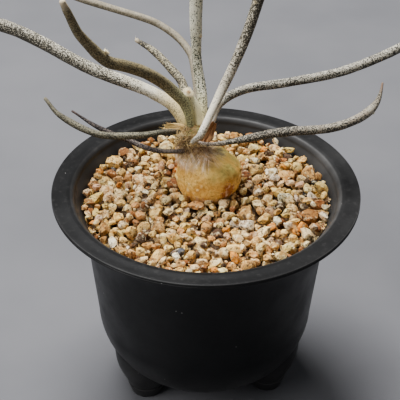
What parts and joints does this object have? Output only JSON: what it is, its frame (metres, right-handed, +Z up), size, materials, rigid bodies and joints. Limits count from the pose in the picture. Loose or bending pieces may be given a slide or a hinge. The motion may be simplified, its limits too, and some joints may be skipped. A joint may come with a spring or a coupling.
{
  "type": "potted cactus",
  "caption": "Swollen star cactus caudex with long slender curving tubercles, set in gravel in a round wide-rimmed pot on short feet.",
  "frame": {"origin": "on the surface the pot stands on, under the pot's axis", "axes": "+Z up along the pot's axis; the plant's front faces -Y; the longest tubercles spread along X"},
  "size_m": [0.2099, 0.124, 0.191],
  "materials": {
    "pot_plastic": "satin",
    "gravel": "matte",
    "caudex_skin": "matte",
    "tubercle_skin": "matte",
    "dry_scale": "matte"
  },
  "bodies": {
    "root": {"pot": "pot_plastic", "gravel_bed": "gravel", "caudex": "caudex_skin", "tubercle_left_long": "tubercle_skin", "tubercle_left_arching": "tubercle_skin", "tubercle_left_withered": "tubercle_skin", "tubercle_rear": "tubercle_skin", "tubercle_upright": "tubercle_skin", "tubercle_right_rising": "tubercle_skin", "tubercle_right_long": "tubercle_skin", "tubercle_right_low": "tubercle_skin", "tubercle_left_low": "tubercle_skin", "tubercle_left_thin": "tubercle_skin", "tubercle_stub": "tubercle_skin", "dry_scale_left": "dry_scale", "dry_husk_right": "dry_scale"}
  },
  "joints": []
}
